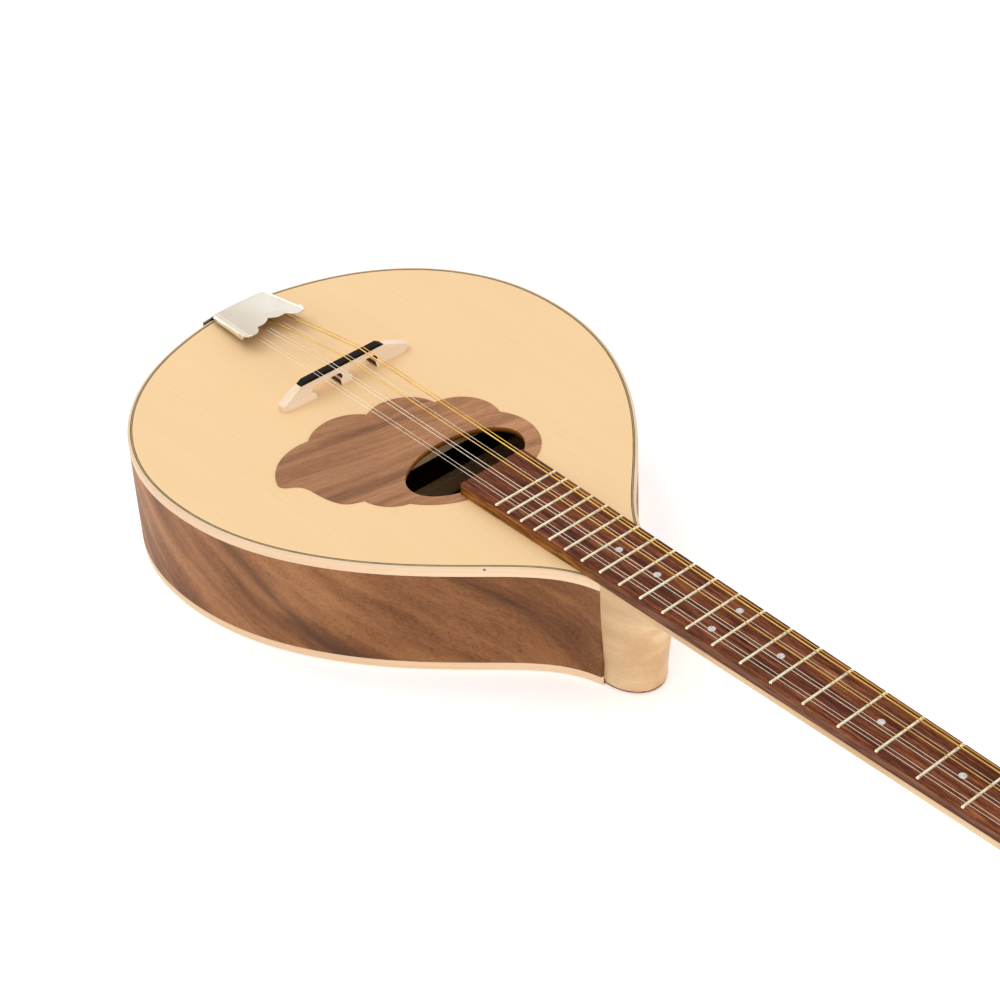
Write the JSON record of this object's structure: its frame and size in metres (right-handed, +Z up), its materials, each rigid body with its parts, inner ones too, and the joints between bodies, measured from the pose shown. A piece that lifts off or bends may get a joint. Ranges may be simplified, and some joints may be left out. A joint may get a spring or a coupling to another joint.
{
  "type": "flat-backed octave mandola",
  "caption": "Long-necked teardrop string instrument with a flat spruce top, oval sound hole, floating bridge, metal tailpiece and geared tuners for paired strings.",
  "frame": {"origin": "on the outer face of the flat back, straight under the bridge saddle", "axes": "+X along the strings from the tail to the headstock, +Y to the bass side, +Z up out of the soundboard"},
  "size_m": [0.9043, 0.305, 0.0904],
  "materials": {
    "spruce_top": "satin spruce, fine straight grain",
    "purfling": "dyed fibre strip",
    "binding": "satin maple",
    "walnut": "satin walnut",
    "inner_spruce": "bare spruce",
    "guard": "thin satin walnut veneer",
    "neck_maple": "satin maple",
    "heel_cap": "dark wood veneer",
    "steel": "plain steel",
    "rosewood": "oiled rosewood",
    "fret_nickel": "polished nickel silver",
    "pearl": "pearl",
    "bone": "polished bone",
    "bridge_maple": "bare maple",
    "ebony": "oiled ebony",
    "tail_nickel": "nickel plate",
    "tuner_nickel": "nickel plate",
    "button": "cream plastic",
    "plain_string": "bright steel wire",
    "wound_string": "phosphor bronze winding"
  },
  "bodies": {
    "root": {"back_binding": "binding", "back_braces": "inner_spruce", "back_lining": "inner_spruce", "back_plate": "walnut", "bridge": "bridge_maple", "course_1": "plain_string", "course_2": "plain_string", "course_3_plain": "plain_string", "course_3_wound": "wound_string", "course_4": "wound_string", "fingerboard": "rosewood", "frets": "fret_nickel", "headstock_veneer": "walnut", "heel_cap": "heel_cap", "neck": "neck_maple", "neck_block": "inner_spruce", "nut": "bone", "pickguard": "guard", "position_dots": "pearl", "saddle": "ebony", "side_bass": "walnut", "side_treble": "walnut", "soundboard": "spruce_top", "tail_block": "inner_spruce", "tailpiece_base": "tail_nickel", "tailpiece_screws": "steel", "top_binding": "binding", "top_braces": "inner_spruce", "top_lining": "inner_spruce", "top_purfling": "purfling", "truss_rod": "steel", "tuner_bushings": "tuner_nickel", "tuner_plate_bass": "tuner_nickel", "tuner_plate_treble": "tuner_nickel", "tuner_screws": "tuner_nickel"},
    "cover": {"tailpiece_cover": "tail_nickel"},
    "key_1": {"tuner_worm_1": "tuner_nickel", "tuner_button_1": "button"},
    "post_1": {"tuner_post_1": "tuner_nickel"},
    "key_2": {"tuner_worm_2": "tuner_nickel", "tuner_button_2": "button"},
    "post_2": {"tuner_post_2": "tuner_nickel"},
    "key_3": {"tuner_worm_3": "tuner_nickel", "tuner_button_3": "button"},
    "post_3": {"tuner_post_3": "tuner_nickel"},
    "key_4": {"tuner_worm_4": "tuner_nickel", "tuner_button_4": "button"},
    "post_4": {"tuner_post_4": "tuner_nickel"},
    "key_5": {"tuner_worm_5": "tuner_nickel", "tuner_button_5": "button"},
    "post_5": {"tuner_post_5": "tuner_nickel"},
    "key_6": {"tuner_worm_6": "tuner_nickel", "tuner_button_6": "button"},
    "post_6": {"tuner_post_6": "tuner_nickel"},
    "key_7": {"tuner_worm_7": "tuner_nickel", "tuner_button_7": "button"},
    "post_7": {"tuner_post_7": "tuner_nickel"},
    "key_8": {"tuner_worm_8": "tuner_nickel", "tuner_button_8": "button"},
    "post_8": {"tuner_post_8": "tuner_nickel"}
  },
  "joints": [
    {"name": "cover_slide", "type": "slide", "parent": "root", "child": "cover", "axis": [0.9962, 0, 0.0872], "range_m": [0, 0.045]},
    {"name": "key_turn_1", "type": "hinge", "parent": "root", "child": "key_1", "pos_m": [0.68273, -0.021, 0.05159], "axis": [0, 1, 0], "continuous": true},
    {"name": "post_turn_1", "type": "hinge", "parent": "root", "child": "post_1", "pos_m": [0.68043, -0.021, 0.07109], "axis": [0.2079, 0, 0.9781], "continuous": true},
    {"name": "key_turn_2", "type": "hinge", "parent": "root", "child": "key_2", "pos_m": [0.70718, -0.021, 0.04639], "axis": [0, 1, 0], "continuous": true},
    {"name": "post_turn_2", "type": "hinge", "parent": "root", "child": "post_2", "pos_m": [0.70489, -0.021, 0.0659], "axis": [0.2079, 0, 0.9781], "continuous": true},
    {"name": "key_turn_3", "type": "hinge", "parent": "root", "child": "key_3", "pos_m": [0.73163, -0.021, 0.0412], "axis": [0, 1, 0], "continuous": true},
    {"name": "post_turn_3", "type": "hinge", "parent": "root", "child": "post_3", "pos_m": [0.72934, -0.021, 0.0607], "axis": [0.2079, 0, 0.9781], "continuous": true},
    {"name": "key_turn_4", "type": "hinge", "parent": "root", "child": "key_4", "pos_m": [0.75609, -0.021, 0.036], "axis": [0, 1, 0], "continuous": true},
    {"name": "post_turn_4", "type": "hinge", "parent": "root", "child": "post_4", "pos_m": [0.75379, -0.021, 0.0555], "axis": [0.2079, 0, 0.9781], "continuous": true},
    {"name": "key_turn_5", "type": "hinge", "parent": "root", "child": "key_5", "pos_m": [0.68273, 0.021, 0.05159], "axis": [0, 1, 0], "continuous": true},
    {"name": "post_turn_5", "type": "hinge", "parent": "root", "child": "post_5", "pos_m": [0.68043, 0.021, 0.07109], "axis": [0.2079, 0, 0.9781], "continuous": true},
    {"name": "key_turn_6", "type": "hinge", "parent": "root", "child": "key_6", "pos_m": [0.70718, 0.021, 0.04639], "axis": [0, 1, 0], "continuous": true},
    {"name": "post_turn_6", "type": "hinge", "parent": "root", "child": "post_6", "pos_m": [0.70489, 0.021, 0.0659], "axis": [0.2079, 0, 0.9781], "continuous": true},
    {"name": "key_turn_7", "type": "hinge", "parent": "root", "child": "key_7", "pos_m": [0.73163, 0.021, 0.0412], "axis": [0, 1, 0], "continuous": true},
    {"name": "post_turn_7", "type": "hinge", "parent": "root", "child": "post_7", "pos_m": [0.72934, 0.021, 0.0607], "axis": [0.2079, 0, 0.9781], "continuous": true},
    {"name": "key_turn_8", "type": "hinge", "parent": "root", "child": "key_8", "pos_m": [0.75609, 0.021, 0.036], "axis": [0, 1, 0], "continuous": true},
    {"name": "post_turn_8", "type": "hinge", "parent": "root", "child": "post_8", "pos_m": [0.75379, 0.021, 0.0555], "axis": [0.2079, 0, 0.9781], "continuous": true}
  ],
  "couplings": [
    {"joint": "post_turn_1", "follows": "key_turn_1", "ratio": -0.071429},
    {"joint": "post_turn_2", "follows": "key_turn_2", "ratio": -0.071429},
    {"joint": "post_turn_3", "follows": "key_turn_3", "ratio": -0.071429},
    {"joint": "post_turn_4", "follows": "key_turn_4", "ratio": -0.071429},
    {"joint": "post_turn_5", "follows": "key_turn_5", "ratio": -0.071429},
    {"joint": "post_turn_6", "follows": "key_turn_6", "ratio": -0.071429},
    {"joint": "post_turn_7", "follows": "key_turn_7", "ratio": -0.071429},
    {"joint": "post_turn_8", "follows": "key_turn_8", "ratio": -0.071429}
  ]
}
